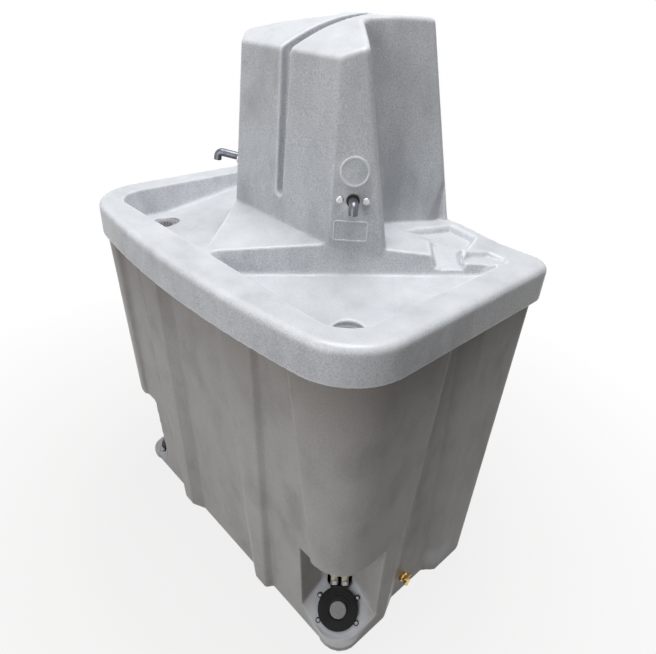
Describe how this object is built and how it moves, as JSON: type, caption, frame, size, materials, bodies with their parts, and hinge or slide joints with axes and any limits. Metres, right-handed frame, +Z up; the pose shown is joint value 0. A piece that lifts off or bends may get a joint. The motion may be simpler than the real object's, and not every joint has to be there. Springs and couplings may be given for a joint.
{
  "type": "freestanding hand wash station",
  "caption": "Freestanding foot-pump hand wash station with two corner basins, a spout tower, soap dishes and inner water tanks.",
  "frame": {"origin": "on the floor under the centre of the bounding box", "axes": "+X to the right along the length, +Y to the rear, towards the tower's back, +Z up"},
  "size_m": [0.962, 0.644, 1.329],
  "materials": {
    "top_plastic": "light grey moulded polyethylene with fine granite speckle and a soft sheen",
    "tub_plastic": "darker warm grey moulded polyethylene with fine speckle, semi-gloss",
    "tank_plastic": "natural translucent white polyethylene",
    "black_plastic": "black moulded plastic with a fine texture",
    "button_plastic": "grey speckled hard rubber",
    "black_rubber": "matte black rubber",
    "hose_rubber": "smooth black hose",
    "drain_hose_plastic": "grey flexible drain hose",
    "cream_plastic": "cream nylon",
    "polished_steel": "polished stainless steel",
    "stainless_steel": "plain stainless steel",
    "brass": "bright turned brass"
  },
  "bodies": {
    "station": {"sink_top": "top_plastic", "tub_shell": "tub_plastic", "rim_screws": "stainless_steel", "fresh_water_tank": "tank_plastic", "grey_water_tank": "tank_plastic", "fill_neck": "black_plastic", "fill_neck_nut": "black_plastic", "right_pump_base": "black_plastic", "left_pump_base": "black_plastic", "right_pump_cover": "black_plastic", "left_pump_cover": "black_plastic", "right_pump_diaphragm": "black_rubber", "left_pump_diaphragm": "black_rubber", "right_pump_spring": "stainless_steel", "left_pump_spring": "stainless_steel", "pump_screws": "stainless_steel", "right_pump_hose_stubs": "cream_plastic", "left_pump_hose_stubs": "cream_plastic", "right_hose_connectors": "cream_plastic", "left_hose_connectors": "cream_plastic", "right_suction_hose": "hose_rubber", "left_suction_hose": "hose_rubber", "right_delivery_hose": "hose_rubber", "left_delivery_hose": "hose_rubber", "right_spout": "polished_steel", "left_spout": "polished_steel", "right_spout_bracket": "stainless_steel", "left_spout_bracket": "stainless_steel", "spout_screws": "stainless_steel", "spout_nuts": "stainless_steel", "right_basin_strainer": "stainless_steel", "left_basin_strainer": "stainless_steel", "right_drain_nut": "black_plastic", "left_drain_nut": "black_plastic", "right_drain_hose": "drain_hose_plastic", "left_drain_hose": "drain_hose_plastic", "hose_clamps": "stainless_steel", "drain_hose_clamps": "stainless_steel", "drain_cock_body": "brass", "drain_lock_nut": "brass", "drain_pipe": "hose_rubber"},
    "right_button": {"right_pump_button": "button_plastic"},
    "left_button": {"left_pump_button": "button_plastic"},
    "cock_key": {"drain_cock_key": "brass"},
    "cap": {"fill_cap": "black_plastic"}
  },
  "joints": [
    {"name": "right_pump_press", "type": "slide", "parent": "station", "child": "right_button", "axis": [-0.4497, 0.4592, -0.766], "range_m": [0, 0.014], "stiffness_N_per_m": 3500, "deforming": ["right_pump_spring"]},
    {"name": "left_pump_press", "type": "slide", "parent": "station", "child": "left_button", "axis": [0.4497, 0.4592, -0.766], "range_m": [0, 0.014], "stiffness_N_per_m": 3500, "deforming": ["left_pump_spring"]},
    {"name": "drain_cock_turn", "type": "hinge", "parent": "station", "child": "cock_key", "pos_m": [0.4592, 0.022, 0.078], "axis": [0, 0, 1], "range_deg": [0, 90]},
    {"name": "fill_cap_turn", "type": "hinge", "parent": "station", "child": "cap", "pos_m": [0, 0.2939, 0.69], "axis": [0, 0.9995, -0.0317], "range_deg": [0, 90]}
  ]
}
